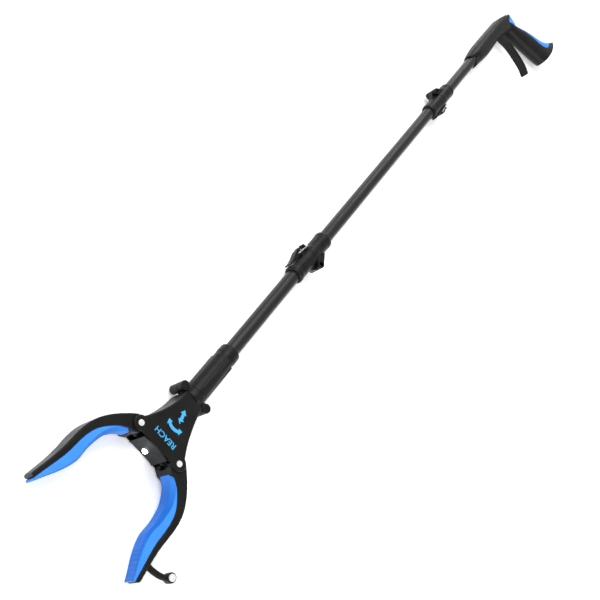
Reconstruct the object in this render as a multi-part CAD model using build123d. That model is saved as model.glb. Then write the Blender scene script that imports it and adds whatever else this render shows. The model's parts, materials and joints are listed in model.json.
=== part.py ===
from build123d import *
import math
import os

# Folding reacher grabber, modelled in millimetres.
# Working axes: X runs along the tool from the jaw pivots (X = 0) to the handle,
# Y is across the tool with the grip on the -Y side, Z = 0 is the middle plane.
# place() moves every piece to the final frame, where the tool lies on Z = 0
# and the origin is under the middle of its bounding box.

# ---- driving dimensions -------------------------------------------------
HALF_THICK = 14.0            # half thickness of the head and of the grip
BOX_MIDDLE = (459.85, -16.10)  # middle of the bounding box in working axes
FOLD_1_X = 273.2             # joint face between lower and middle sections
FOLD_2_X = 640.8             # joint face between middle and upper sections
HINGE_OFFSET = 12.3          # fold pin axis from the tube axis
RUNNING = 0.05               # radial clearance of a pin that turns in a hole
GAP = 0.2                    # gap between faces that move past each other

# tubes and couplers
TUBE_R = 7.2
TUBE_WALL = 0.9
SOCKET_R = TUBE_R + 0.05
COUPLER_LEN = 34.3
COUPLER_R = 9.9
WAIST_R = 9.5
TUBE_INSET = 10.0            # tube end from the joint face, inside its coupler
CABLE_R = 0.8
CABLE_BORE_R = 2.2
RIVET_R = 1.5
RIVET_HEAD_R = 2.4
RIVET_INSET = 20.0           # rivets from the joint face
RIVET_SEAT = WAIST_R - 0.5   # depth their heads are let in to

# fold hinge
KNUCKLE_R = 4.25
KNUCKLE_GAP = 0.6            # room round a knuckle in the coupler it folds into
KNUCKLE_HALF = 3.0           # half width of the centre knuckle
HINGE_HALF = 8.0             # half width of the whole hinge
EYELET_R = 2.95
EYELET_BORE_R = 2.35

# toggle latch, s from the joint face, t out from the tube axis
FULCRUM = (5.5, 12.3)
BAIL_PIVOT = (11.0, 12.0)
BAIL_BAR_T = 10.0            # height of the cross bar behind its hook
BAIL_REACH = 15.9
BAIL_ARM_Z = 4.8
WIRE_R = 0.9
LATCH_HALF = 3.6
TONGUE_HALF = 1.9
LATCH_PIN_R = 1.2

# head and jaws
PIVOT_Y = 23.0
LOBE_R = 6.7
PLATE = 2.0
RIM_ROUND = 1.3
JAW_HALF = 11.9
JAW_BOSS_R = 6.5
JAW_TIP_HALF = 7.2           # the jaws are thinner at their tips
TAPER_X = -30.0
PAD_BEVEL = 3.4
PAD_BEVEL_DEEP = 5.5
JAW_SWING = 32.2             # degrees from open to closed
JAW_PIN_R = 2.0
PIN_HEAD_R = 2.6
JAW_CORE_R = 3.6
CHANNEL_HALF = 4.9           # half height of the slot for the crosshead
CROSS_PIN_R = 1.0
CROSS_LUG_R = 1.9
HEAD_END_X = 53.0
MAGNET_AT = (-65.2, -78.9)
MAGNET_R = 3.0
LED_Z = -6.5

# neck
COLLAR_START = 53.3
COLLAR_END = 61.8
COLLAR_R = 11.0
EAR_Y = 13.7
EAR_R = 4.3
EAR_LOW = -12.5
EAR_HIGH = 7.5
WEB_HALF = 5.5
SPIGOT_R = 5.5
FLANGE_R = 8.0
SLEEVE_END = 120.3
SLEEVE_RIB_R = 10.9

# handle, X measured from the second joint face
NOSE_X = FOLD_2_X + 127.0
TUBE_END_X = FOLD_2_X + 184.4
TRIGGER_PIVOT = (FOLD_2_X + 248.0, 6.0)
TRIGGER_PIN_R = 1.7
TRIGGER_SWING = 26.0
CABLE_ARM = 7.6
TRIGGER_HALF = 5.0
FINGER_HALF = 5.5
TRIGGER_ROOM_HALF = 6.2
FORK_HALF = 2.1
SHELL_WALL = 2.2
CURVE_STEPS = 12             # points used when a curve is moved sideways

# the cable's stroke sets how far the crosshead pins sit from the jaw pivots
CABLE_TRAVEL = 2 * CABLE_ARM * math.sin(math.radians(TRIGGER_SWING / 2))
CROSS_ARM = CABLE_TRAVEL / (2 * math.tan(math.radians(JAW_SWING / 2)))
CROSS_ARM_LONG = CROSS_ARM / math.cos(math.radians(JAW_SWING / 2))
CROSS_PIN_Y = PIVOT_Y - CROSS_ARM


# ---- helpers ------------------------------------------------------------
def prism(face, low, high):
    return extrude(Pos(0, 0, low) * face, amount=high - low)


def both_sides(shape):
    return shape + mirror(shape, Plane.XY)


def disc(x, y, radius, low, high):
    return Pos(x, y, (low + high) / 2) * Cylinder(radius, high - low)


def rod_x(start, end, radius, y=0.0, z=0.0):
    return Pos((start + end) / 2, y, z) * Rot(0, 90, 0) * Cylinder(radius, end - start)


def slab(x0, x1, y0, y1, z0, z1):
    middle = Pos((x0 + x1) / 2, (y0 + y1) / 2, (z0 + z1) / 2)
    return middle * Box(x1 - x0, y1 - y0, z1 - z0)


def polygon(*points):
    return make_face(Polyline(*points, points[0]))


def revolve_x(*profile):
    """Solid of revolution about the tool axis from (x, radius) points."""
    return revolve(polygon(*profile), Axis.X)


def moved_right(curve, distance):
    """Smooth curve that keeps a distance to the right-hand side of another."""
    points = []
    for index in range(CURVE_STEPS + 1):
        spot = curve @ (index / CURVE_STEPS)
        along = curve % (index / CURVE_STEPS)
        points.append((spot.X + along.Y * distance, spot.Y - along.X * distance))
    return Spline(*points)


def mirror_y(shape):
    return mirror(shape, Plane.XZ)


def halves(shape):
    """Front (+Z) and rear (-Z) halves of a two-part casing."""
    front = split(shape, bisect_by=Plane.XY, keep=Keep.TOP)
    rear = split(shape, bisect_by=Plane.XY, keep=Keep.BOTTOM)
    return front, rear


def place(shape):
    return Pos(-BOX_MIDDLE[0], -BOX_MIDDLE[1], HALF_THICK) * shape


nodes = {}


def node(name, shape):
    nodes[name] = shape


# ---- head ---------------------------------------------------------------
HEAD_SIDE = [(5.9, 25.0), (19.4, 17.9), (31.2, 13.7), (43.0, 11.2), (HEAD_END_X, 10.4)]
FRONT_EDGE_X = -4.2
LOBE_CORNER = (-4.6, 19.6)   # where a pivot lobe meets the front edge


def head_waist():
    """Plan of the hollow between the side walls, behind the jaws."""
    left = moved_right(Spline(*HEAD_SIDE), PLATE)
    start, end = left @ 0, left @ 1
    rest = Polyline((end.X, end.Y), (end.X, 0), (start.X, 0), (start.X, start.Y))
    half = make_face([left, rest])
    return half + mirror_y(half)


def head_outline():
    """Plan of the head: a concave front edge, two pivot lobes and waisted sides."""
    left = Spline(*HEAD_SIDE)
    right = Spline(*[(x, -y) for x, y in reversed(HEAD_SIDE)])
    back = Line(HEAD_SIDE[-1], (HEAD_END_X, -HEAD_SIDE[-1][1]))
    lobe_left = Line(LOBE_CORNER, HEAD_SIDE[0])
    lobe_right = Line((5.9, -25.0), (LOBE_CORNER[0], -LOBE_CORNER[1]))
    front = ThreePointArc((LOBE_CORNER[0], -LOBE_CORNER[1]), (FRONT_EDGE_X, 0), LOBE_CORNER)
    plan = make_face([left, back, right, lobe_right, front, lobe_left])
    for side in (1, -1):
        plan += Pos(0, side * PIVOT_Y) * Circle(LOBE_R)
    return plan


def head_side_profile(shrink):
    """Side view of the head: flat below, sloping down to the neck above."""
    top = HALF_THICK - shrink
    neck = 9.8 - shrink
    front = -12.0 + shrink
    end = HEAD_END_X - shrink
    slope = Spline((24.0, top), (38.0, top - 1.3), (end, neck), tangents=[(1, 0), (1, -0.25)])
    rest = Polyline((end, neck), (end, -neck), (end - 2.0, -top), (front, -top), (front, top), (24.0, top))
    face = make_face([slope, rest])
    return extrude(Plane.XZ * face, amount=40, both=True)


def head_shells():
    """Front and rear head covers, split on the middle plane."""
    plan = head_outline()
    outer = prism(plan, -HALF_THICK, HALF_THICK) & head_side_profile(0)
    rim = [edge for edge in outer.edges() if edge.center().Z > 9.5 and edge.length > 5
           and edge.center().X < HEAD_END_X - 1]
    outer = fillet(rim, RIM_ROUND)
    waist = prism(head_waist(), -HALF_THICK, HALF_THICK) & head_side_profile(PLATE)
    jaw_room = slab(-20, 9.5, -40, 40, PLATE - HALF_THICK, HALF_THICK - PLATE)
    shell = outer - waist - jaw_room
    shell -= rod_x(HEAD_END_X - 4, HEAD_END_X + 1, 1.6)
    spigot = rod_x(HEAD_END_X - PLATE, 60.0, SPIGOT_R) + rod_x(57.0, 59.0, FLANGE_R)
    shell += spigot - rod_x(HEAD_END_X - 4, 61.0, 1.6)
    for x, y in HEAD_SCREWS:
        shell += disc(x, y, 3.0, -HALF_THICK + 1, 11.0)
        shell -= disc(x, y, 1.3, -HALF_THICK - 1, 9.0)
        shell -= disc(x, y, 2.3, -HALF_THICK - 1, -HALF_THICK + 1.6)
    for side in (1, -1):
        shell -= disc(0, side * PIVOT_Y, JAW_PIN_R, -HALF_THICK + 0.6, HALF_THICK + 1)
        shell -= disc(0, side * PIVOT_Y, PIN_HEAD_R + 0.1, HALF_THICK - 0.9, HALF_THICK + 1)
    shell -= prism(battery_plan(0.15), -HALF_THICK - 1, -HALF_THICK + PLATE + 0.5)
    shell += slab(LID_SCREW_X - 1.6, LID_SCREW_X + 1.6, -16.0, 16.0, -11.9, -9.0)
    shell -= disc(LID_SCREW_X, 0, LID_SCREW_R, -12, -8)
    shell -= slab(-1.5, 12.5, -3.8, 3.8, -HALF_THICK - 1, -HALF_THICK + 1.2)
    shell -= slab(2.0, 11.0, -1.6, 1.6, -HALF_THICK - 1, -HALF_THICK + PLATE + 1)
    return halves(shell)


HEAD_SCREWS = [(14.6, 15.4), (14.6, -15.4)]
LID_SCREW_X = 21.8
LID_SCREW_R = 1.0


def battery_plan(grow):
    width = 17.2 + 2 * grow
    length = 32.0 + 2 * grow
    return Pos(34.0, 0) * RectangleRounded(length, width, 5.0)


def battery_cover():
    """Lid of the battery bay, with a row of thumb ridges let into its rear face."""
    lid = prism(battery_plan(0), -HALF_THICK + 0.1, -HALF_THICK + PLATE)
    for index in range(4):
        groove_x = 40.0 + 2.0 * index
        lid -= slab(groove_x, groove_x + 0.9, -4.5, 4.5, -HALF_THICK - 1, -HALF_THICK + 0.6)
    lid -= disc(LID_SCREW_X, 0, LID_SCREW_R + 0.1, -HALF_THICK - 1, 0)
    lid -= disc(LID_SCREW_X, 0, 2.0, -HALF_THICK - 1, -HALF_THICK + 1.1)
    return lid


def small_screw(x, y, head_z, tip_z, head_r, shank_r):
    """Cross-head screw whose head looks towards -Z."""
    screw = disc(x, y, head_r, head_z, head_z + 1.0) + disc(x, y, shank_r, head_z + 0.9, tip_z)
    for angle in (0, 90):
        slot = Pos(x, y, head_z) * Rot(0, 0, angle) * Box(2.0 * head_r - 1.2, 0.5, 1.0)
        screw -= slot
    return screw


def led_housing():
    """Block between the jaws that carries the lamp, with a wedge either side."""
    block = slab(-7.0, 0.5, -9.0, 9.0, -12.0, 12.0) + slab(-7.0, -2.4, -13.8, 13.8, -12.0, 12.0)
    front = prism(Pos(FRONT_EDGE_X - 60.0, 0) * Circle(60.0), -20, 20)
    block -= front
    block -= rod_x(-10, 5, 2.55, z=LED_Z)
    cone = Pos(-4.3, 0, LED_Z) * Rot(0, 90, 0) * Cone(4.3, 2.6, 2.2)
    return block - cone


def led_lens():
    dome = Pos(-3.6, 0, 0) * Sphere(2.5)
    barrel = rod_x(-3.6, 0.5, 2.5)
    keep = slab(-6.3, 0.5, -4, 4, -4, 4)
    return Pos(0, 0, LED_Z) * ((dome + barrel) & keep)


def build_head():
    front, rear = head_shells()
    node("head_cover_front", front)
    node("head_cover_rear", rear)
    node("battery_cover", battery_cover())
    node("battery_screw", small_screw(LID_SCREW_X, 0, -HALF_THICK + 0.1, -9.8, 1.9, LID_SCREW_R))
    node("head_screws", Compound(children=[
        small_screw(x, y, -HALF_THICK + 0.6, 8.0, 2.2, 1.25) for x, y in HEAD_SCREWS]))
    node("led_housing", led_housing())
    node("led_lens", led_lens())
    node("led_board", slab(0.6, 1.8, -6.0, 6.0, -8.5, 8.5))
    cells = [disc(x, 0, 5.8, -11.9, -6.5) for x in (30.5, 42.3)]
    node("button_cells", Compound(children=cells))
    node("battery_contact", slab(25.0, 47.8, -3.0, 3.0, -6.4, -6.0))
    node("light_switch", light_switch())
    pins = [jaw_pin(side * PIVOT_Y) for side in (1, -1)]
    node("jaw_pivot_pins", Compound(children=pins))


def light_switch():
    """Thumb slider of the lamp, running in the shallow groove of the rear cover."""
    thumb = slab(2.2, 7.0, -3.2, 3.2, -HALF_THICK + 0.2, -HALF_THICK + 1.1)
    for index in range(3):
        ridge_x = 3.1 + 1.3 * index
        thumb -= slab(ridge_x, ridge_x + 0.5, -4, 4, -HALF_THICK, -HALF_THICK + 0.6)
    stem = slab(2.4, 6.4, -1.5, 1.5, -HALF_THICK + 1.0, -HALF_THICK + 3.2)
    return thumb + stem


def jaw_pin(y):
    shank = disc(0, y, JAW_PIN_R, -HALF_THICK + 0.7, HALF_THICK - 0.8)
    head = disc(0, y, PIN_HEAD_R, HALF_THICK - 0.9, HALF_THICK - 0.1)
    return shank + head


# ---- jaws ---------------------------------------------------------------
JAW_OUTER = [(5.2, 28.6), (-2.5, 36.5), (-12.6, 44.9), (-22.7, 50.8), (-34.5, 54.2),
             (-46.3, 54.9), (-58.1, 54.9), (-69.9, 56.0), (-85.5, 58.4)]
JAW_SEAM = [(-9.3, 27.2), (-15.2, 34.8), (-22.7, 41.5), (-29.5, 45.7), (-36.2, 47.9),
            (-46.3, 49.1), (-58.1, 49.5), (-69.9, 51.3), (-87.5, 54.6)]
JAW_INNER = [(-9.3, 23.0), (-16.0, 30.6), (-22.7, 35.1), (-29.5, 37.8), (-36.2, 39.0),
             (-46.3, 39.7), (-54.8, 39.3), (-63.2, 41.0), (-73.3, 44.9), (-81.7, 49.1), (-90.1, 53.0)]


def jaw_taper():
    """Side view of a jaw: full thickness at the root, thinner towards the tip."""
    face = polygon((20, JAW_HALF), (TAPER_X, JAW_HALF), (-92, JAW_TIP_HALF), (-92, -JAW_TIP_HALF),
                   (TAPER_X, -JAW_HALF), (20, -JAW_HALF))
    return extrude(Plane.XZ * face, amount=80, both=True)


def jaw_arm():
    """Rigid outer arm of the +Y jaw in its open position."""
    outer = Spline(*JAW_OUTER)
    tip = ThreePointArc(JAW_OUTER[-1], (-88.0, 57.2), JAW_SEAM[-1])
    seam = Spline(*reversed(JAW_SEAM))
    root = Polyline(JAW_SEAM[0], JAW_INNER[0], (-6.5, 18.7), (0, PIVOT_Y), JAW_OUTER[0])
    plan = make_face([outer, tip, seam, root])
    arm = prism(plan, -JAW_HALF, JAW_HALF) & jaw_taper()
    boss = disc(0, PIVOT_Y, JAW_BOSS_R, -JAW_HALF, JAW_HALF)
    arm += boss
    rest_angle = -90.0 - JAW_SWING / 2
    notch = prism(polygon((0, 0), (11.0, -13.0), (11.0, 13.0)), -CHANNEL_HALF, CHANNEL_HALF)
    notch = Pos(0, PIVOT_Y, 0) * Rot(0, 0, rest_angle) * notch
    core = disc(0, PIVOT_Y, JAW_CORE_R, -CHANNEL_HALF, CHANNEL_HALF)
    arm = arm - (notch - core)
    tail = slab(0, 8.75, -2.6, 2.6, -2.0, 2.0)
    near = CROSS_ARM - 0.08
    far = CROSS_ARM_LONG + 0.08
    half = CROSS_PIN_R + 0.1
    slot = slab(near, far, -half, half, -3, 3) + disc(near, 0, half, -3, 3) + disc(far, 0, half, -3, 3)
    arm += Pos(0, PIVOT_Y, 0) * Rot(0, 0, rest_angle) * (tail - slot)
    arm -= disc(0, PIVOT_Y, JAW_PIN_R + RUNNING, -20, 20)
    return arm


def jaw_pad():
    """Soft inner pad of the +Y jaw, moulded against the arm."""
    inner = Spline(*JAW_INNER)
    seam = Spline(*reversed(JAW_SEAM))
    nose = ThreePointArc(JAW_INNER[-1], (-89.6, 54.3), JAW_SEAM[-1])
    heel = Line(JAW_SEAM[0], JAW_INNER[0])
    pad = prism(make_face([inner, nose, seam, heel]), -JAW_HALF, JAW_HALF)
    grip_face = [face for face in pad.faces() if face.area > 1000 and (face.center().Y < 44)
                 and abs(face.center().Z) < 1][0]
    grip_edges = [edge for edge in grip_face.edges() if edge.length > 60]
    pad = chamfer(grip_edges, PAD_BEVEL_DEEP, PAD_BEVEL, reference=grip_face)
    return pad & jaw_taper()


def hook_arm():
    """Curved finger on the -Y jaw that ends in the magnet cup."""
    path = Spline((-70.2, -55.0), (-71.2, -60.5), (-70.8, -65.5), (-69.0, -73.0), MAGNET_AT)
    finger = sweep(Plane(path @ 0, z_dir=path % 0) * RectangleRounded(5.0, 4.2, 1.4), path=path)
    cup = disc(MAGNET_AT[0], MAGNET_AT[1], 4.3, -4.0, 4.0)
    return finger + cup - disc(MAGNET_AT[0], MAGNET_AT[1], MAGNET_R + 0.05, -2.6, 5.0)


def build_jaws():
    arm = jaw_arm()
    pad = jaw_pad()
    node("jaw_arm_left", arm)
    node("jaw_pad_left", pad)
    node("jaw_arm_right", mirror_y(arm) + hook_arm())
    node("jaw_pad_right", mirror_y(pad))
    node("magnet", disc(MAGNET_AT[0], MAGNET_AT[1], MAGNET_R, -2.6, 4.5))


# ---- crosshead ----------------------------------------------------------
CROSS_REST_X = -CABLE_TRAVEL / 2
CROSS_HUB_X = 7.6


def build_crosshead():
    """Slider that the cable pulls: two plates that straddle the jaw tails."""
    lug = (CROSS_REST_X, CROSS_PIN_Y)
    plan = Pos(*lug) * Circle(CROSS_LUG_R) + Pos(lug[0], -lug[1]) * Circle(CROSS_LUG_R)
    for side in (1, -1):
        y = side * CROSS_PIN_Y
        plan += polygon((lug[0] + 1.2, y + side * 1.4), (lug[0] - 1.2, y - side * 1.4),
                        (CROSS_HUB_X - 3.0, side * 3.5), (CROSS_HUB_X + 2.6, side * 4.5))
    plan += Pos(CROSS_HUB_X, 0) * RectangleRounded(6.5, 9.5, 1.5)
    head = both_sides(prism(plan, 2.1, 4.4))
    head += slab(CROSS_HUB_X - 2.5, CROSS_HUB_X + 3.2, -3.2, 3.2, -4.4, 4.4)
    head -= rod_x(CROSS_HUB_X, CROSS_HUB_X + 5, CABLE_R)
    for side in (1, -1):
        head -= disc(lug[0], side * CROSS_PIN_Y, CROSS_PIN_R, -6, 6)
    node("crosshead", head)
    pins = [disc(lug[0], side * CROSS_PIN_Y, CROSS_PIN_R, -4.4, 4.4) for side in (1, -1)]
    node("crosshead_pins", Compound(children=pins))


def coil(radius, wire, pitch, turns):
    """Closed helical coil along Z starting at Z = 0."""
    path = Helix(pitch=pitch, height=pitch * turns, radius=radius)
    section = Plane(path @ 0, z_dir=path % 0) * Circle(wire)
    return sweep(section, path=path, is_frenet=True)


def build_head_spring():
    spring = Rot(0, 90, 0) * coil(3.0, 0.45, 1.6, 7)
    node("crosshead_spring", Pos(39.0, 0, 0) * spring)


# ---- neck ---------------------------------------------------------------
def collar():
    """Clamp collar round the swivel flange, with a screw boss on each ear."""
    ring = revolve_x((COLLAR_START, 0), (COLLAR_START, COLLAR_R - 1.2), (COLLAR_START + 1.6, COLLAR_R - 0.3),
                     (COLLAR_START + 3.6, COLLAR_R), (COLLAR_END - 0.4, COLLAR_R),
                     (COLLAR_END, COLLAR_R - 0.4), (COLLAR_END, 7.9), (70.0, 7.9), (70.0, 0))
    for side in (1, -1):
        y = side * EAR_Y
        ring += disc(57.5, y, EAR_R, EAR_LOW, EAR_HIGH)
        web = polygon((COLLAR_START + 0.4, 0), (COLLAR_START + 0.4, y), (COLLAR_END - 0.4, y),
                      (COLLAR_END - 0.4, 0))
        ring += prism(web, -WEB_HALF, WEB_HALF)
    ring -= rod_x(50, 80, 5.6)
    ring -= rod_x(56.9, 59.1, FLANGE_R + 0.1)
    for side in (1, -1):
        ring -= disc(57.5, side * EAR_Y, 1.2, EAR_LOW - 1, EAR_HIGH - 1.5)
        ring -= disc(57.5, side * EAR_Y, 2.2, EAR_LOW - 1, EAR_LOW + 1.2)
    return ring


def build_neck():
    front, rear = halves(collar())
    node("collar_front", front)
    node("collar_rear", rear)
    node("collar_screws", Compound(children=[
        small_screw(57.5, side * EAR_Y, EAR_LOW + 0.2, 4.8, 2.1, 1.15) for side in (1, -1)]))
    sleeve = revolve_x((COLLAR_END, 0), (COLLAR_END, 10.6), (66.0, 10.7), (90.0, 10.3), (109.0, 9.7),
                       (112.0, 10.1), (SLEEVE_END - 0.8, 9.9), (SLEEVE_END, 9.1), (SLEEVE_END, 0))
    for angle in range(0, 360, 60):
        rib = slab(67.0, 106.0, -0.9, 0.9, 9.0, SLEEVE_RIB_R)
        sleeve += Rot(angle, 0, 0) * rib
    sleeve -= rod_x(60, 70.5, 7.95)
    sleeve -= rod_x(76.0, 125, SOCKET_R)
    sleeve -= rod_x(60, 125, 3.0)
    node("neck_sleeve", sleeve)


# ---- couplers, fold hinges and latches ------------------------------------
def coupler_body(open_layers):
    """Coupler along +X from its joint face, hinge on -Y, latch on +Y."""
    body = revolve_x((0.1, 0), (0.1, COUPLER_R - 0.4), (0.5, COUPLER_R), (7.0, COUPLER_R), (9.0, WAIST_R),
                     (26.0, WAIST_R), (29.0, COUPLER_R), (COUPLER_LEN - 2.0, COUPLER_R - 0.1),
                     (COUPLER_LEN, 8.6), (COUPLER_LEN, 0))
    body -= rod_x(TUBE_INSET, COUPLER_LEN + 1, SOCKET_R)
    body -= rod_x(-1, TUBE_INSET + 1, CABLE_BORE_R)
    body -= both_sides(disc(RIVET_INSET, 0, RIVET_R, 5, 12))
    body -= both_sides(disc(RIVET_INSET, 0, RIVET_HEAD_R + 0.05, RIVET_SEAT, 12))
    for low, high in open_layers:
        body -= disc(0, -HINGE_OFFSET, KNUCKLE_R + KNUCKLE_GAP, low, high)
    return body


def knuckle(low, high):
    """One leaf of the fold hinge with its triangular gusset."""
    lug = polygon((0.2, -7.6), (0.2, -HINGE_OFFSET), (2.6, -15.6), (15.0, -8.0), (15.0, -7.6))
    plan = lug + Pos(0, -HINGE_OFFSET) * Circle(KNUCKLE_R)
    return prism(plan, low, high)


def hinge_hole(radius):
    return disc(0, -HINGE_OFFSET, radius, -20, 20)


def lever_coupler():
    """Jaw-side coupler: centre knuckle and the two cheeks that hold the lever."""
    outer = (KNUCKLE_HALF, HINGE_HALF + 1)
    body = coupler_body([outer, (-outer[1], -outer[0])])
    body += knuckle(-KNUCKLE_HALF + GAP / 2, KNUCKLE_HALF - GAP / 2)
    body -= hinge_hole(EYELET_R + RUNNING)
    body -= slab(-1, 28.5, 7.8, 12, -9, 9)
    cheek = Pos(*FULCRUM) * Circle(3.3)
    cheek += polygon((2.2, 5.0), (8.8, 5.0), (8.8, FULCRUM[1]), (2.2, FULCRUM[1]))
    body += both_sides(prism(cheek, TONGUE_HALF + 0.1, LATCH_HALF))
    return body - disc(FULCRUM[0], FULCRUM[1], LATCH_PIN_R, -5, 5)


def hook_coupler():
    """Handle-side coupler: two outer knuckles and the hook that the bail pulls on."""
    body = coupler_body([(-KNUCKLE_HALF, KNUCKLE_HALF)])
    body += both_sides(knuckle(KNUCKLE_HALF + GAP / 2, HINGE_HALF))
    body -= hinge_hole(EYELET_R)
    body -= slab(-1, 9.0, 8.8, 12, -9, 9)
    catch = polygon((0.8, 6.0), (0.8, 13.6), (1.8, 14.8), (3.2, 14.4), (3.85, 13.2), (3.85, 6.0))
    return body + prism(catch, -3.5, 3.5)


def eyelet():
    """Hollow rivet that the fold turns on; a lanyard can pass through it."""
    sleeve = disc(0, -HINGE_OFFSET, EYELET_R, -HINGE_HALF - 0.5, HINGE_HALF + 0.5)
    sleeve += both_sides(disc(0, -HINGE_OFFSET, 4.0, HINGE_HALF, HINGE_HALF + 0.5))
    return sleeve - disc(0, -HINGE_OFFSET, EYELET_BORE_R, -20, 20)


def latch_lever():
    """Toggle lever: a narrow tongue between the cheeks and a wider finger plate."""
    tongue = Pos(*FULCRUM) * Circle(3.4)
    tongue += polygon((5.5, 9.6), (5.5, 15.7), (12.0, 15.2), (12.0, 9.0), (9.6, 9.0))
    plate = make_face([
        Polyline((9.6, 8.4), (9.6, 15.4)),
        Spline((9.6, 15.4), (17.0, 13.6), (25.0, 11.9), (31.0, 12.0)),
        Polyline((31.0, 12.0), (31.0, 10.4)),
        Spline((31.0, 10.4), (25.0, 9.6), (18.0, 8.8), (13.0, 8.4)),
        Polyline((13.0, 8.4), (9.6, 8.4)),
    ])
    lever = prism(tongue, -TONGUE_HALF, TONGUE_HALF) + prism(plate, -LATCH_HALF, LATCH_HALF)
    lever -= disc(BAIL_PIVOT[0], BAIL_PIVOT[1], WIRE_R + RUNNING, 1.5, 5)
    lever -= disc(BAIL_PIVOT[0], BAIL_PIVOT[1], WIRE_R + RUNNING, -5, -1.5)
    for index in range(4):
        lever -= slab(24.0 + 1.7 * index, 24.8 + 1.7 * index, 11.5, 14, -5, 5)
    return lever - disc(FULCRUM[0], FULCRUM[1], LATCH_PIN_R + RUNNING, -5, 5)


def latch_bail():
    """Bent wire loop from the lever to the hook."""
    far = BAIL_PIVOT[0] - BAIL_REACH
    near, y = BAIL_PIVOT
    corners = [(near, y, 1.6), (near, y, BAIL_ARM_Z), (far, BAIL_BAR_T, BAIL_ARM_Z),
               (far, BAIL_BAR_T, -BAIL_ARM_Z), (near, y, -BAIL_ARM_Z), (near, y, -1.6)]
    path = FilletPolyline(*corners, radius=1.3)
    return sweep(Plane(path @ 0, z_dir=path % 0) * Circle(WIRE_R), path=path)


def build_fold(label, face_x, jaw_side, handle_side):
    """One fold joint; the two rotations turn the shared parts to their places."""
    toward_jaws = Pos(face_x, 0, 0) * jaw_side
    toward_handle = Pos(face_x, 0, 0) * handle_side
    node(label + "_lever_coupler", toward_jaws * lever_coupler())
    node(label + "_hook_coupler", toward_handle * hook_coupler())
    node(label + "_fold_eyelet", toward_handle * eyelet())
    node(label + "_latch_lever", toward_jaws * latch_lever())
    node(label + "_latch_bail", toward_jaws * latch_bail())
    pin = disc(FULCRUM[0], FULCRUM[1], LATCH_PIN_R, -LATCH_HALF, LATCH_HALF)
    node(label + "_latch_pin", toward_jaws * pin)


# ---- tubes, rivets and cable ----------------------------------------------
def tube(start, end, rivet_at):
    wall = rod_x(start, end, TUBE_R) - rod_x(start - 1, end + 1, TUBE_R - TUBE_WALL)
    for x in rivet_at:
        wall -= disc(x, 0, RIVET_R, -12, 12)
    return wall


def rivets(rivet_at):
    """Round-headed rivets that hold a coupler to its tube, two to a coupler."""
    group = []
    for x in rivet_at:
        rivet = disc(x, 0, RIVET_R, TUBE_R - TUBE_WALL - 0.6, RIVET_SEAT + 0.3)
        rivet += disc(x, 0, RIVET_HEAD_R, RIVET_SEAT + 0.05, RIVET_SEAT + 0.7)
        group += [rivet, mirror(rivet, Plane.XY)]
    return Compound(children=group)


def build_tubes():
    spans = {
        "lower": (76.0, FOLD_1_X - TUBE_INSET, [FOLD_1_X - RIVET_INSET]),
        "middle": (FOLD_1_X + TUBE_INSET, FOLD_2_X - TUBE_INSET,
                   [FOLD_1_X + RIVET_INSET, FOLD_2_X - RIVET_INSET]),
        "upper": (FOLD_2_X + TUBE_INSET, TUBE_END_X, [FOLD_2_X + RIVET_INSET]),
    }
    for name, (start, end, rivet_at) in spans.items():
        node(name + "_tube", tube(start, end, rivet_at))
        node(name + "_rivets", rivets(rivet_at))


def nipple_point():
    swing = math.radians(TRIGGER_SWING / 2)
    x = TRIGGER_PIVOT[0] - CABLE_ARM * math.sin(swing)
    y = TRIGGER_PIVOT[1] - CABLE_ARM * (1 + math.cos(swing)) / 2
    return x, y


def build_cable():
    """The pull cable, divided at the two fold joints."""
    short = CABLE_TRAVEL + 1.0
    node("cable_lower", rod_x(CROSS_HUB_X, FOLD_1_X - short, CABLE_R))
    node("cable_middle", rod_x(FOLD_1_X + 1.0, FOLD_2_X - short, CABLE_R))
    end_x, end_y = nipple_point()
    path = Line((FOLD_2_X + 1.0, 0, 0), (end_x, end_y, 0))
    node("cable_upper", sweep(Plane(path @ 0, z_dir=path % 0) * Circle(CABLE_R), path=path)
         - disc(end_x, end_y, 1.6, -5, 5))
    node("cable_nipple", disc(end_x, end_y, 1.6, -4.8, 4.8))


# ---- handle ---------------------------------------------------------------
GRIP_AXIS = (0.449, -0.8935)
GRIP_START = (265.8, -16.8)
GRIP_STATIONS = [(-14.0, 23.0, 12.2), (0.0, 24.5, 12.4), (11.2, 25.8, 12.4), (20.4, 29.1, 12.6),
                 (38.7, 35.8, 13.2), (60.4, 40.2, 13.7), (76.0, 44.5, 14.0), (90.0, 54.0, 14.0),
                 (104.0, 68.0, 14.0), (116.0, 80.0, 14.0)]
BARREL_STATIONS = [(127.0, 9.4, -9.4, 9.4, 9.0), (150.0, 11.9, -11.0, 11.4, 10.6),
                   (200.0, 12.6, -10.7, 11.8, 10.0), (235.0, 12.2, -10.0, 12.0, 9.0),
                   (262.0, 11.8, -13.5, 12.2, 8.5), (300.0, 9.0, -16.5, 6.5, 6.0)]
CAVITY_STATIONS = [(192.0, 12.4, -10.7, 11.6, 9.8)] + BARREL_STATIONS[3:5]


def grip_loft(shrink):
    """Oval grip: (distance down the grip, depth front to back, half thickness)."""
    sections = []
    for distance, depth, half in GRIP_STATIONS:
        middle_x = GRIP_START[0] + GRIP_AXIS[0] * distance - GRIP_AXIS[1] * depth / 2
        middle_y = GRIP_START[1] + GRIP_AXIS[1] * distance + GRIP_AXIS[0] * depth / 2
        plane = Plane((FOLD_2_X + middle_x, middle_y, 0), x_dir=(-GRIP_AXIS[1], GRIP_AXIS[0], 0),
                      z_dir=(GRIP_AXIS[0], GRIP_AXIS[1], 0))
        sections.append(plane * Ellipse(depth / 2 - shrink, half - shrink))
    return loft(sections)


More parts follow.
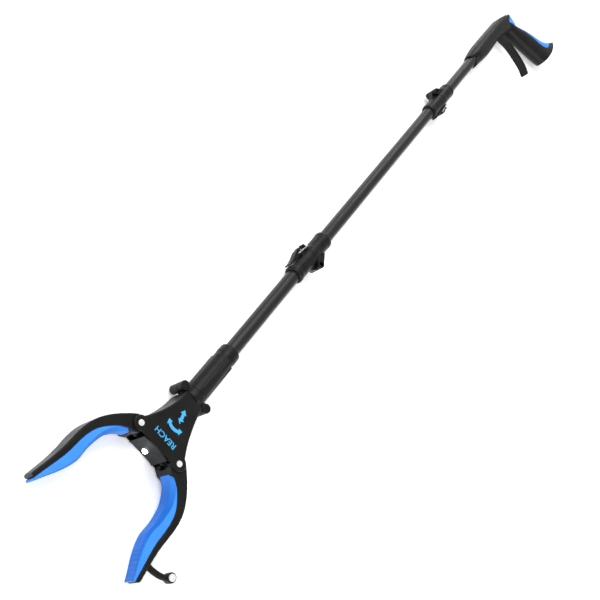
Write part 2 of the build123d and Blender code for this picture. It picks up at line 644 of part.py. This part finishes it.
def barrel_loft(shrink, stations):
    """Barrel of the handle: (x, top, bottom, half thickness, corner radius)."""
    sections = []
    for x, top, bottom, half, corner in stations:
        plane = Plane((FOLD_2_X + x, (top + bottom) / 2, 0), x_dir=(0, 1, 0), z_dir=(1, 0, 0))
        sections.append(plane * RectangleRounded(top - bottom - 2 * shrink, 2 * (half - shrink),
                                                 corner - shrink))
    return loft(sections)


def handle_edges():
    """Edges of the handle in side view, clockwise from the top of the back."""
    back = Spline((293.6, 2.8), (293.0, 0.4), (292.2, -5.5), (293.9, -15.2), (301.0, -21.9),
                  (315.2, -35.3), (328.6, -52.9), (338.0, -66.6), (349.4, -75.4), (369.0, -82.0))
    butt = ThreePointArc((369.0, -82.0), (337.0, -88.9), (302.5, -90.5))
    heel = ThreePointArc((302.5, -90.5), (300.0, -89.8), (298.4, -87.6))
    finger = Spline((298.4, -87.6), (292.4, -73.6), (281.7, -48.7), (271.6, -28.6), (265.8, -19.5),
                    (256.0, -13.0), (235.0, -12.0))
    below = Polyline((235.0, -12.0), (120.0, -12.0), (120.0, 14.0), (245.0, 14.0))
    spine = Spline((245.0, 14.0), (262.0, 11.6), (281.0, 8.0), (291.0, 5.4), (293.6, 2.8))
    return [back, butt, heel, finger, below, spine]


def handle_outline():
    return Pos(FOLD_2_X, 0) * make_face(handle_edges())


def handle_walls():
    """Everything outside the curved edges once they are moved in by the wall."""
    back, butt, _, finger, _, spine = handle_edges()
    outer_corners = [(back, (420.0, -77.0), (420.0, 6.0)),
                     (butt, (302.0, -120.0), (370.0, -120.0)),
                     (finger, (200.0, -12.0), (200.0, -120.0)),
                     (spine, (340.0, 2.0), (340.0, 40.0), (245.0, 40.0))]
    walls = []
    for edge, *corners in outer_corners:
        inner = moved_right(edge, SHELL_WALL)
        start, end = inner @ 0, inner @ 1
        rest = Polyline((end.X, end.Y), *corners, (start.X, start.Y))
        walls.append(Pos(FOLD_2_X, 0) * prism(make_face([inner, rest]), -20, 20))
    return walls


def blue_outline():
    seam = Spline((272.2, -4.4), (288.4, -18.5), (299.3, -33.6), (307.7, -48.7), (318.6, -70.5),
                  (327.8, -78.0), (338.7, -79.3), (349.6, -77.2), (353.5, -70.0))
    rest = Polyline((353.5, -70.0), (380.0, -60.0), (380.0, 3.8), (297.0, 3.8), (272.0, -2.8),
                    (272.2, -4.4))
    return Pos(FOLD_2_X, 0) * make_face([seam, rest])


def slot_outline():
    return Pos(FOLD_2_X, 0) * polygon((292.8, 6.6), (271.0, 7.0), (271.6, 0.2), (274.0, -0.4))


def trigger_plan():
    """Side view of the trigger in its rest position."""
    front = Spline((238.6, -4.0), (238.9, -12.0), (243.5, -22.5), (246.6, -38.0), (246.0, -53.0),
                   (244.5, -66.0), (240.0, -76.0))
    tip = ThreePointArc((240.0, -76.0), (239.8, -79.4), (243.0, -80.0))
    back = Spline((243.0, -80.0), (250.8, -66.5), (252.5, -51.0), (252.4, -36.0), (250.5, -20.0),
                  (248.6, -4.0))
    top = Polyline((248.6, -4.0), (251.4, 6.0), (244.6, 6.0), (238.6, -4.0))
    hub = Pos(*TRIGGER_PIVOT) * Circle(3.4)
    return Pos(FOLD_2_X, 0) * make_face([front, tip, back, top]) + hub


def trigger():
    plan = trigger_plan()
    lever = prism(plan, -TRIGGER_HALF, TRIGGER_HALF)
    finger = prism(plan, -FINGER_HALF, FINGER_HALF) & slab(0, 2000, -90, -15.0, -20, 20)
    lever += finger
    lever -= both_sides(trigger_groove())
    lever -= slab(FOLD_2_X + 220, FOLD_2_X + 270, -7.0, 20, -FORK_HALF, FORK_HALF)
    x, y = nipple_point()
    for shift in (-0.2, 0.0, 0.2):
        lever -= disc(x, y + shift, 1.65, -10, 10)
    return lever - disc(TRIGGER_PIVOT[0], TRIGGER_PIVOT[1], TRIGGER_PIN_R + RUNNING, -20, 20)


def trigger_room():
    """Well in the handle that the trigger swings in."""
    plan = polygon((235.2, -24.0), (236.4, -6.0), (243.4, 6.0), (252.6, 6.0), (256.0, 0.0),
                   (263.2, -11.0), (267.0, -20.0), (267.0, -24.0))
    plan = Pos(FOLD_2_X, 0) * plan + Pos(*TRIGGER_PIVOT) * Circle(3.6)
    return prism(plan, -TRIGGER_ROOM_HALF, TRIGGER_ROOM_HALF)


def trigger_groove():
    """Long hollow in the side of the trigger's finger."""
    left = Spline((245.4, -24.0), (248.0, -38.0), (247.4, -53.0), (245.9, -66.5), (242.4, -75.2))
    right = Spline((243.6, -75.2), (249.4, -66.0), (251.0, -51.0), (250.9, -37.0), (249.0, -24.0))
    rest = [Line(left @ 1, right @ 0), Line(right @ 1, left @ 0)]
    return Pos(FOLD_2_X, 0) * prism(make_face([left, right] + rest), FINGER_HALF - 1.3, FINGER_HALF + 1)


HANDLE_SCREWS = [(266.5, 4.0), (200.0, 6.2), (297.5, -62.0)]


def nose_scoops():
    """Slanting hollows that leave a lip on either side of the tube."""
    tilt = 71.0
    return both_sides(Pos(FOLD_2_X + 139.1, 0, 18.1) * Rot(0, tilt, 0) * Cylinder(9.0, 80.0))


def build_handle():
    body = barrel_loft(0, BARREL_STATIONS) - nose_scoops() + grip_loft(0)
    body &= prism(handle_outline(), -HALF_THICK, HALF_THICK)
    slot = prism(slot_outline(), -20, 20)
    slot_wall = prism(offset(slot_outline(), amount=2.0), -20, 20)
    cavity = barrel_loft(SHELL_WALL, CAVITY_STATIONS)
    cavity += grip_loft(SHELL_WALL)
    for wall in handle_walls():
        cavity -= wall
    cavity -= slot_wall
    blue = prism(blue_outline(), -20, 20)
    shell = body - slot - cavity - trigger_room()
    shell -= rod_x(NOSE_X - 1, TUBE_END_X, SOCKET_R) + rod_x(TUBE_END_X - 6, TUBE_END_X + 14, 4.0)
    node("grip_insert", shell & blue)
    shell -= blue
    shell += both_sides(disc(TRIGGER_PIVOT[0], TRIGGER_PIVOT[1], 3.2, TRIGGER_HALF + GAP, 11.0))
    shell -= disc(TRIGGER_PIVOT[0], TRIGGER_PIVOT[1], TRIGGER_PIN_R, -20, 9)
    shell -= disc(TRIGGER_PIVOT[0], TRIGGER_PIVOT[1], 2.55, -20, -10.4)
    for x, y in HANDLE_SCREWS:
        shell += disc(FOLD_2_X + x, y, 3.0, -11.0, 11.0) & body
    for x, y in HANDLE_SCREWS:
        shell -= disc(FOLD_2_X + x, y, 1.3, -20, 6.0)
        shell -= disc(FOLD_2_X + x, y, 2.6, -20, -8.6)
    front, rear = halves(shell)
    node("handle_shell_front", front)
    node("handle_shell_rear", rear)
    node("handle_screws", Compound(children=[
        small_screw(FOLD_2_X + x, y, -9.6, 5.0, 2.5, 1.25) for x, y in HANDLE_SCREWS]))
    node("trigger", trigger())
    pin = disc(TRIGGER_PIVOT[0], TRIGGER_PIVOT[1], TRIGGER_PIN_R, -10.5, 8.9)
    node("trigger_pin", pin + disc(TRIGGER_PIVOT[0], TRIGGER_PIVOT[1], 2.5, -11.3, -10.4))
    spring = coil(2.45, 0.3, 0.75, 4)
    node("trigger_spring", Pos(TRIGGER_PIVOT[0], TRIGGER_PIVOT[1], -1.5) * spring)


# ---- everything -------------------------------------------------------------
def main():
    build_head()
    build_jaws()
    build_crosshead()
    build_head_spring()
    build_neck()
    build_fold("lower", FOLD_1_X, Rot(0, 180, 0), Rot(0, 0, 0))
    build_fold("upper", FOLD_2_X, Rot(0, 0, 180), Rot(180, 0, 0))
    build_tubes()
    build_cable()
    build_handle()
    os.makedirs("parts", exist_ok=True)
    for name, shape in nodes.items():
        export_step(place(shape), "parts/" + name + ".step")


main()
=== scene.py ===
import json
import math

import bmesh
import bpy
from mathutils import Matrix, Vector
from mathutils.bvhtree import BVHTree


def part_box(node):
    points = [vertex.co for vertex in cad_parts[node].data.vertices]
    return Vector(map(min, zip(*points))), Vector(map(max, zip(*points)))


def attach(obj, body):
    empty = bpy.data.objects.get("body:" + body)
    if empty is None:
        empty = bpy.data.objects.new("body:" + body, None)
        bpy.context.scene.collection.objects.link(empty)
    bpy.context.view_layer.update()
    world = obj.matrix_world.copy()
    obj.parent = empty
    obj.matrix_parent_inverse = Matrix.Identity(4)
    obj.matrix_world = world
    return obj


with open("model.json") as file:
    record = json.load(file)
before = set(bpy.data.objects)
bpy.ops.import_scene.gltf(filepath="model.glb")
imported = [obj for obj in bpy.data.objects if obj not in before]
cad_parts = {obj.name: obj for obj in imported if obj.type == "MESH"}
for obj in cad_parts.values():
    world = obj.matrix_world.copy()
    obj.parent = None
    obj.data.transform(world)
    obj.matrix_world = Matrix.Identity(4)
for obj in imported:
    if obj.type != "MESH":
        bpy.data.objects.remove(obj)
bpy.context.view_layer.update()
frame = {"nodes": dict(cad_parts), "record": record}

# All lengths are in metres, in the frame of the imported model.
MM = 0.001
NODES = frame["nodes"]

# where the working axes of the CAD source have their origin in this frame
PIVOTS_LOW, PIVOTS_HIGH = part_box("jaw_pivot_pins")
HEAD_X = (PIVOTS_LOW.x + PIVOTS_HIGH.x) / 2
AXIS_Y = (PIVOTS_LOW.y + PIVOTS_HIGH.y) / 2
MID_Z = (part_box("lower_tube")[0].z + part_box("lower_tube")[1].z) / 2


def at(x, y, z):
    """Point given in millimetres from the middle of the jaw pivots."""
    return Vector((HEAD_X + x * MM, AXIS_Y + y * MM, MID_Z + z * MM))


# ---- material helpers -----------------------------------------------------
def new_material(name):
    material = bpy.data.materials.new(name)
    material.use_nodes = True
    tree = material.node_tree
    return material, tree, tree.nodes["Principled BSDF"]


def add(tree, kind, **values):
    """Adds a node; values are its properties."""
    made = tree.nodes.new(kind)
    for key, value in values.items():
        setattr(made, key, value)
    return made


def coords(tree, stretch=(1, 1, 1)):
    source = add(tree, "ShaderNodeTexCoord")
    mapping = add(tree, "ShaderNodeMapping")
    mapping.inputs["Scale"].default_value = stretch
    tree.links.new(source.outputs["Object"], mapping.inputs["Vector"])
    return mapping.outputs["Vector"]


def noise(tree, vector, scale, detail=2.0, rough=0.5):
    made = add(tree, "ShaderNodeTexNoise")
    made.inputs["Scale"].default_value = scale
    made.inputs["Detail"].default_value = detail
    made.inputs["Roughness"].default_value = rough
    tree.links.new(vector, made.inputs["Vector"])
    return made.outputs["Fac"]


def spread(tree, value, low, high, start=0.0, end=1.0):
    """Maps a value from start..end to low..high, clamped."""
    made = add(tree, "ShaderNodeMapRange")
    made.inputs["From Min"].default_value = start
    made.inputs["From Max"].default_value = end
    made.inputs["To Min"].default_value = low
    made.inputs["To Max"].default_value = high
    tree.links.new(value, made.inputs["Value"])
    return made.outputs["Result"]


def math_node(tree, operation, first, second=None):
    made = add(tree, "ShaderNodeMath", operation=operation)
    for index, value in enumerate((first, second)):
        if isinstance(value, (int, float)):
            made.inputs[index].default_value = value
        elif value is not None:
            tree.links.new(value, made.inputs[index])
    return made.outputs["Value"]


def mix_colour(tree, factor, first, second):
    made = add(tree, "ShaderNodeMix", data_type="RGBA")
    tree.links.new(factor, made.inputs["Factor"])
    colours = [s for s in made.inputs if s.type == "RGBA"]
    for socket, value in zip(colours, (first, second)):
        if isinstance(value, tuple):
            socket.default_value = (*value, 1.0)
        else:
            tree.links.new(value, socket)
    return [s for s in made.outputs if s.type == "RGBA"][0]


def rounded_normal(tree, radius):
    made = add(tree, "ShaderNodeBevel", samples=4)
    made.inputs["Radius"].default_value = radius
    return made.outputs["Normal"]


def edge_mask(tree, rounded):
    """1 on edges, 0 on flat ground, from how far the rounded normal leans."""
    geometry = add(tree, "ShaderNodeNewGeometry")
    dot = add(tree, "ShaderNodeVectorMath", operation="DOT_PRODUCT")
    tree.links.new(rounded, dot.inputs[0])
    tree.links.new(geometry.outputs["Normal"], dot.inputs[1])
    return spread(tree, dot.outputs["Value"], 1.0, 0.0, 0.80, 0.98)


def bump(tree, height, strength, distance, normal=None):
    made = add(tree, "ShaderNodeBump")
    made.inputs["Strength"].default_value = strength
    made.inputs["Distance"].default_value = distance
    tree.links.new(height, made.inputs["Height"])
    if normal is not None:
        tree.links.new(normal, made.inputs["Normal"])
    return made.outputs["Normal"]


# ---- materials ------------------------------------------------------------
BLACK_DARK = (0.0055, 0.0054, 0.0052)
BLACK_LIGHT = (0.0085, 0.0083, 0.0080)
BLUE = (0.050, 0.27, 0.84)
BLUE_SHADE = (0.042, 0.24, 0.78)
# painted shade: a darker blue that stands in for the shade on the gripping faces, which face along Y
GRIP_FACE_PAINTED_SHADE = (0.008, 0.135, 0.56)
INK_BLUE = (0.035, 0.36, 0.72)
INK_BLUE_LIGHT = (0.045, 0.42, 0.80)
TUBE_DARK = (0.013, 0.0132, 0.0138)
TUBE_LIGHT = (0.025, 0.0253, 0.026)
RIB_PITCH = 3.4 * MM
PAD_TIP_X = -86


def moulded_plastic(name, dark, light, rough, edge_radius, grain=2600):
    """Satin moulded plastic: fine spark-eroded grain, handling sheen, worn edges."""
    material, tree, bsdf = new_material(name)
    vector = coords(tree)
    clouds = noise(tree, vector, 55, 4)
    grain_height = noise(tree, vector, grain, 3, 0.6)
    rounded = rounded_normal(tree, edge_radius)
    edges = edge_mask(tree, rounded)
    base = mix_colour(tree, spread(tree, clouds, 0.0, 1.0, 0.35, 0.65), dark, light)
    worn = tuple(min(1.0, 2.0 * c + 0.010) for c in light)
    patches = spread(tree, noise(tree, vector, 420, 3), 0.1, 0.9, 0.4, 0.62)
    scuffs = math_node(tree, "MULTIPLY", edges, patches)
    tree.links.new(mix_colour(tree, scuffs, base, worn), bsdf.inputs["Base Color"])
    sheen = spread(tree, noise(tree, vector, 160, 5, 0.6), rough - 0.07, rough + 0.07, 0.3, 0.7)
    tree.links.new(sheen, bsdf.inputs["Roughness"])
    tree.links.new(bump(tree, grain_height, 0.22, 0.00006, rounded), bsdf.inputs["Normal"])
    bsdf.inputs["Specular IOR Level"].default_value = 0.17
    return material


def sideways(tree):
    """1 where a surface faces along Y, as the gripping faces of the jaws do; it places both the ribs and
    the painted shade.
    """
    source = add(tree, "ShaderNodeTexCoord")
    parts = add(tree, "ShaderNodeSeparateXYZ")
    tree.links.new(source.outputs["Normal"], parts.inputs["Vector"])
    return spread(tree, math_node(tree, "ABSOLUTE", parts.outputs["Y"]), 0.0, 1.0, 0.60, 0.86)


def soft_rubber(name, colour, shade, rough, ribs=False):
    """Bright moulded elastomer with a faint matt grain; ribs across the jaw tips and painted shade on the
    gripping faces.
    """
    material, tree, bsdf = new_material(name)
    vector = coords(tree)
    clouds = spread(tree, noise(tree, vector, 38, 3), 0.0, 1.0, 0.35, 0.65)
    base = mix_colour(tree, clouds, colour, shade)
    if ribs:
        # painted shade: faces that point along Y are darkened to the shaded grip-face blue
        base = mix_colour(tree, sideways(tree), base, GRIP_FACE_PAINTED_SHADE)
    tree.links.new(base, bsdf.inputs["Base Color"])
    sheen = spread(tree, noise(tree, vector, 300, 4), rough - 0.06, rough + 0.06, 0.3, 0.7)
    tree.links.new(sheen, bsdf.inputs["Roughness"])
    rounded = rounded_normal(tree, 0.0009)
    normal = bump(tree, noise(tree, vector, 3200, 2), 0.18, 0.00005, rounded)
    if ribs:
        place = add(tree, "ShaderNodeSeparateXYZ")
        tree.links.new(vector, place.inputs["Vector"])
        along = math_node(tree, "SUBTRACT", place.outputs["X"], at(PAD_TIP_X, 0, 0).x)
        wave = math_node(tree, "SINE", math_node(tree, "MULTIPLY", along, 2 * math.pi / RIB_PITCH))
        near_tip = spread(tree, along, 1.0, 0.0, 0.014, 0.022)
        on_face = math_node(tree, "MULTIPLY", near_tip, sideways(tree))
        height = math_node(tree, "MULTIPLY", math_node(tree, "MAXIMUM", wave, -0.2), on_face)
        normal = bump(tree, height, 0.7, 0.0006, normal)
    tree.links.new(normal, bsdf.inputs["Normal"])
    bsdf.inputs["Subsurface Weight"].default_value = 0.06
    bsdf.inputs["Subsurface Radius"].default_value = (0.0015, 0.002, 0.003)
    bsdf.inputs["Specular IOR Level"].default_value = 0.16
    return material


def anodised_tube():
    """Dark anodised tube: drawn lines along X and a soft lacquer."""
    material, tree, bsdf = new_material("dark_tube")
    lines = noise(tree, coords(tree, (6, 900, 900)), 1.6, 4, 0.6)
    clouds = noise(tree, coords(tree), 24, 4)
    base = mix_colour(tree, spread(tree, lines, 0.0, 1.0, 0.3, 0.7), TUBE_DARK, TUBE_LIGHT)
    tree.links.new(base, bsdf.inputs["Base Color"])
    tree.links.new(spread(tree, clouds, 0.36, 0.44, 0.35, 0.65), bsdf.inputs["Roughness"])
    tree.links.new(bump(tree, lines, 0.04, 0.00003), bsdf.inputs["Normal"])
    bsdf.inputs["Metallic"].default_value = 0.6
    bsdf.inputs["Coat Weight"].default_value = 0.06
    bsdf.inputs["Coat Roughness"].default_value = 0.30
    return material


def metal(name, colour, rough, stretch=(1, 1, 1), scale=700, edge_radius=0.00025, metallic=1.0):
    """Plated or drawn metal with fine tool marks."""
    material, tree, bsdf = new_material(name)
    marks = noise(tree, coords(tree, stretch), scale, 4, 0.6)
    darker = tuple(0.72 * c for c in colour)
    base = mix_colour(tree, spread(tree, marks, 0.0, 1.0, 0.3, 0.7), darker, colour)
    tree.links.new(base, bsdf.inputs["Base Color"])
    tree.links.new(spread(tree, marks, rough - 0.05, rough + 0.08, 0.3, 0.7), bsdf.inputs["Roughness"])
    rounded = rounded_normal(tree, edge_radius)
    tree.links.new(bump(tree, marks, 0.12, 0.00003, rounded), bsdf.inputs["Normal"])
    bsdf.inputs["Metallic"].default_value = metallic
    return material


def lamp_lens():
    """Clear lens lit evenly from behind, with the faint swirl of moulded plastic."""
    material, tree, bsdf = new_material("lamp_lens")
    swirl = noise(tree, coords(tree), 900, 2)
    bsdf.inputs["Base Color"].default_value = (0.95, 0.97, 1.0, 1.0)
    tree.links.new(spread(tree, swirl, 0.05, 0.14), bsdf.inputs["Roughness"])
    bsdf.inputs["Emission Color"].default_value = (0.97, 0.98, 1.0, 1.0)
    tree.links.new(spread(tree, swirl, 9.0, 11.0), bsdf.inputs["Emission Strength"])
    return material


def circuit_board():
    """Green board with a brick pattern for its tracks."""
    material, tree, bsdf = new_material("circuit_board")
    tracks = add(tree, "ShaderNodeTexBrick")
    tracks.inputs["Scale"].default_value = 300
    tracks.inputs["Color1"].default_value = (0.02, 0.20, 0.08, 1)
    tracks.inputs["Color2"].default_value = (0.03, 0.26, 0.10, 1)
    tracks.inputs["Mortar"].default_value = (0.05, 0.34, 0.14, 1)
    tree.links.new(coords(tree), tracks.inputs["Vector"])
    tree.links.new(tracks.outputs["Color"], bsdf.inputs["Base Color"])
    bsdf.inputs["Roughness"].default_value = 0.3
    return material


def printed_ink():
    """Pad-printed cyan ink, a little uneven."""
    material, tree, bsdf = new_material("printed_ink")
    vector = coords(tree)
    speckle = spread(tree, noise(tree, vector, 1500, 3), 0.0, 1.0, 0.35, 0.7)
    tree.links.new(mix_colour(tree, speckle, INK_BLUE, INK_BLUE_LIGHT), bsdf.inputs["Base Color"])
    tree.links.new(spread(tree, speckle, 0.42, 0.52), bsdf.inputs["Roughness"])
    return material


def build_materials():
    return {
        "black_plastic": moulded_plastic("black_plastic", BLACK_DARK, BLACK_LIGHT, 0.40, 0.7 * MM),
        "blue_rubber": soft_rubber("blue_rubber", BLUE, BLUE_SHADE, 0.46),
        "blue_pad": soft_rubber("blue_pad", BLUE, BLUE_SHADE, 0.46, ribs=True),
        "dark_tube": anodised_tube(),
        "black_rivet": metal("black_rivet", (0.035, 0.035, 0.037), 0.38),
        "screw_steel": metal("screw_steel", (0.42, 0.42, 0.43), 0.34),
        "pin_steel": metal("pin_steel", (0.95, 0.95, 0.95), 0.30, metallic=0.45),
        "spring_steel": metal("spring_steel", (0.42, 0.42, 0.44), 0.30),
        "cable_steel": metal("cable_steel", (0.5, 0.5, 0.5), 0.35, stretch=(1, 6, 6)),
        "magnet_nickel": metal("magnet_nickel", (0.97, 0.97, 0.97), 0.30, metallic=0.40),
        "lamp_lens": lamp_lens(),
        "circuit_board": circuit_board(),
        "cell_steel": metal("cell_steel", (0.7, 0.7, 0.7), 0.25),
        "contact_brass": metal("contact_brass", (0.75, 0.58, 0.27), 0.3),
        "printed_ink": printed_ink(),
    }


def paint_nodes(materials):
    """Gives each CAD node the material of its slot; the jaw pads also get ribs and painted shade on their
    gripping faces.
    """
    for part in frame["record"]["subparts"]:
        name = part["node"]
        key = "blue_pad" if name.startswith("jaw_pad") else part["material_slot"]
        mesh = NODES[name].data
        mesh.materials.clear()
        mesh.materials.append(materials[key])


# ---- moulded edges --------------------------------------------------------
# node: (voxel in millimetres, smoothing passes, share of the faces kept)
MOULDED = {
    "handle_shell_front": (0.75, 6, 0.5),
    "handle_shell_rear": (0.75, 6, 0.5),
    "grip_insert": (0.75, 6, 0.5),
    "trigger": (0.45, 6, 0.5),
    "jaw_arm_left": (0.55, 5, 0.6),
    "jaw_arm_right": (0.55, 5, 0.6),
    "jaw_pad_left": (0.5, 4, 0.6),
    "jaw_pad_right": (0.5, 4, 0.6),
    "head_cover_front": (0.45, 4, 0.6),
    "head_cover_rear": (0.45, 4, 0.6),
    "collar_front": (0.4, 4, 0.6),
    "collar_rear": (0.4, 4, 0.6),
    "neck_sleeve": (0.45, 4, 0.6),
    "lower_lever_coupler": (0.4, 4, 0.6),
    "lower_hook_coupler": (0.4, 4, 0.6),
    "upper_lever_coupler": (0.4, 4, 0.6),
    "upper_hook_coupler": (0.4, 4, 0.6),
    "lower_latch_lever": (0.4, 4, 0.6),
    "upper_latch_lever": (0.4, 4, 0.6),
}


def mould_edges():
    """Gives the moulded pieces the rounded edges and soft transitions of cast plastic."""
    for name, (voxel, passes, kept) in MOULDED.items():
        piece = NODES[name]
        weld = piece.modifiers.new("weld", "WELD")
        weld.merge_threshold = 1e-6
        skin = piece.modifiers.new("skin", "REMESH")
        skin.mode = "VOXEL"
        skin.voxel_size = voxel * MM
        skin.use_smooth_shade = True
        soft = piece.modifiers.new("soft", "SMOOTH")
        soft.iterations = passes
        soft.factor = 0.5
        thin = piece.modifiers.new("thin", "DECIMATE")
        thin.ratio = kept


# ---- printed signs --------------------------------------------------------
INK_LIFT = 0.03 * MM
ABOVE_ALL_Z = 40


def print_on(surface, name, stations, material, body):
    """Strip of ink laid on a surface; stations are (x, y, across_x, across_y, half width)."""
    tree = BVHTree.FromObject(surface, bpy.context.evaluated_depsgraph_get())
    bm = bmesh.new()
    rows = []
    across = (-1.0, -0.5, 0.0, 0.5, 1.0)
    for x, y, ax, ay, half in stations:
        row = []
        for share in across:
            start = at(x + ax * half * share, y + ay * half * share, ABOVE_ALL_Z)
            hit = tree.ray_cast(start, Vector((0, 0, -1)))[0]
            row.append(bm.verts.new(hit + Vector((0, 0, INK_LIFT))))
        rows.append(row)
    for first, second in zip(rows, rows[1:]):
        for i in range(len(across) - 1):
            bm.faces.new((first[i], first[i + 1], second[i + 1], second[i]))
    bmesh.ops.remove_doubles(bm, verts=bm.verts, dist=1e-7)
    bmesh.ops.recalc_face_normals(bm, faces=bm.faces)
    mesh = bpy.data.meshes.new(name)
    bm.to_mesh(mesh)
    bm.free()
    piece = bpy.data.objects.new(name, mesh)
    bpy.context.scene.collection.objects.link(piece)
    mesh.materials.append(material)
    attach(piece, body)


def arrow_widths(length, head, shaft_half, head_half, steps=40):
    """(distance, half width) of a double-headed arrow."""
    made = [(0.0, 0.05), (head, head_half), (head + 0.01, shaft_half)]
    for index in range(1, steps):
        made.append((head + (length - 2 * head) * index / steps, shaft_half))
    made += [(length - head - 0.01, shaft_half), (length - head, head_half), (length, 0.05)]
    return made


def straight_arrow(start, end):
    """Stations of a straight double-headed arrow."""
    reach = Vector(end) - Vector(start)
    along = reach.normalized()
    made = []
    for s, half in arrow_widths(reach.length, 4.2, 1.45, 3.1):
        spot = Vector(start) + along * s
        made.append((spot.x, spot.y, -along.y, along.x, half))
    return made


def curved_arrow(centre, radius, half_angle):
    """Stations of an arrow on an arc about a point on the axis, bulging to the jaws."""
    length = 2 * half_angle * radius
    made = []
    for s, half in arrow_widths(length, 3.6, 1.4, 2.9):
        angle = -half_angle + s / radius
        x = centre - radius * math.cos(angle)
        y = radius * math.sin(angle)
        made.append((x, y, -math.cos(angle), math.sin(angle), half))
    return made


def print_word(name, word, middle_x, length, height, material, body):
    """A word across the flat of the front cover, its letters' tops towards the jaws."""
    face_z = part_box("head_cover_front")[1].z
    curve = bpy.data.curves.new(name, "FONT")
    curve.body = word
    curve.offset = 0.012
    source = bpy.data.objects.new(name + "_curve", curve)
    bpy.context.scene.collection.objects.link(source)
    shaped = source.evaluated_get(bpy.context.evaluated_depsgraph_get())
    mesh = bpy.data.meshes.new_from_object(shaped)
    bpy.data.objects.remove(source)
    low = Vector((min(v.co.x for v in mesh.vertices), min(v.co.y for v in mesh.vertices)))
    high = Vector((max(v.co.x for v in mesh.vertices), max(v.co.y for v in mesh.vertices)))
    for vertex in mesh.vertices:
        across = (vertex.co.x - low.x) / (high.x - low.x) - 0.5
        up = (vertex.co.y - low.y) / (high.y - low.y) - 0.5
        vertex.co = at(middle_x - up * height, across * length, 0)
        vertex.co.z = face_z + INK_LIFT
    piece = bpy.data.objects.new(name, mesh)
    bpy.context.scene.collection.objects.link(piece)
    mesh.materials.clear()
    mesh.materials.append(material)
    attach(piece, body)


def build_prints(materials):
    cover = NODES["head_cover_front"]
    ink = materials["printed_ink"]
    print_on(cover, "print_slide_arrow", straight_arrow((24.0, -1.6), (37.3, 1.6)), ink, "head")
    print_on(cover, "print_turn_arrow", curved_arrow(27.2, 10.2, math.radians(51.6)), ink, "head")
    print_word("print_word", "REACH", 6.2, 22.5, 5.0, ink, "head")


# ---- studio ---------------------------------------------------------------
FLOOR_HALF = 6.0
FLOOR_GAP = 0.5 * MM


def softbox(name, where, aim, size, power):
    light = bpy.data.lights.new(name, "AREA")
    light.shape = "RECTANGLE"
    light.size, light.size_y = size
    light.energy = power
    lamp = bpy.data.objects.new(name, light)
    bpy.context.scene.collection.objects.link(lamp)
    lamp.location = where
    lamp.rotation_euler = (Vector(aim) - Vector(where)).to_track_quat("-Z", "Y").to_euler()


def pale_floor():
    """Wide pale sheet just under the object, faintly lit so that shadows stay light."""
    material, tree, bsdf = new_material("studio_floor")
    mottle = noise(tree, coords(tree), 3, 2)
    base = mix_colour(tree, mottle, (0.93, 0.93, 0.93), (0.95, 0.95, 0.95))
    tree.links.new(base, bsdf.inputs["Base Color"])
    bsdf.inputs["Roughness"].default_value = 0.9
    bsdf.inputs["Specular IOR Level"].default_value = 0.1
    bsdf.inputs["Emission Color"].default_value = (1.0, 1.0, 1.0, 1.0)
    bsdf.inputs["Emission Strength"].default_value = 0.30
    mesh = bpy.data.meshes.new("studio_floor")
    far = FLOOR_HALF
    mesh.from_pydata([(-far, -far, 0), (far, -far, 0), (far, far, 0), (-far, far, 0)], [], [(0, 1, 2, 3)])
    mesh.materials.append(material)
    floor = bpy.data.objects.new("studio_floor", mesh)
    floor.location.z = -FLOOR_GAP
    bpy.context.scene.collection.objects.link(floor)


def build_studio():
    pale_floor()
    world = bpy.data.worlds.new("studio")
    bpy.context.scene.world = world
    world.use_nodes = True
    background = world.node_tree.nodes["Background"]
    background.inputs["Color"].default_value = (1.0, 1.0, 1.0, 1.0)
    background.inputs["Strength"].default_value = 0.60
    centre = (0.0, 0.0, 0.02)
    softbox("key", (0.3, 1.3, 1.9), centre, (2.2, 1.6), 50)
    softbox("rim", (1.9, 1.0, 0.9), centre, (0.5, 0.5), 7)
    softbox("fill", (-0.8, -1.8, 1.3), centre, (1.8, 1.4), 26)


def build_camera():
    """Camera above the jaws, looking along the tool towards the handle."""
    camera_data = bpy.data.cameras.new("camera")
    camera_data.lens = 50.07
    camera_data.sensor_width = 36.0
    camera_data.clip_start = 0.05
    camera_data.clip_end = 30.0
    camera = bpy.data.objects.new("camera", camera_data)
    bpy.context.scene.collection.objects.link(camera)
    camera_data.shift_x = 0.00034
    camera_data.shift_y = -0.00046
    right = Vector((0.46771, -0.61445, 0.63539))
    up = Vector((0.58881, 0.75272, 0.29449))
    back = Vector((-0.65920, 0.23639, 0.71384))
    turn = Matrix((right, up, back)).transposed().to_4x4()
    camera.matrix_world = Matrix.Translation(at(-317.02, 174.12, 588.68)) @ turn
    bpy.context.scene.camera = camera


def main():
    materials = build_materials()
    paint_nodes(materials)
    mould_edges()
    build_prints(materials)
    build_studio()
    build_camera()
    bpy.context.scene.view_settings.view_transform = "Standard"


main()
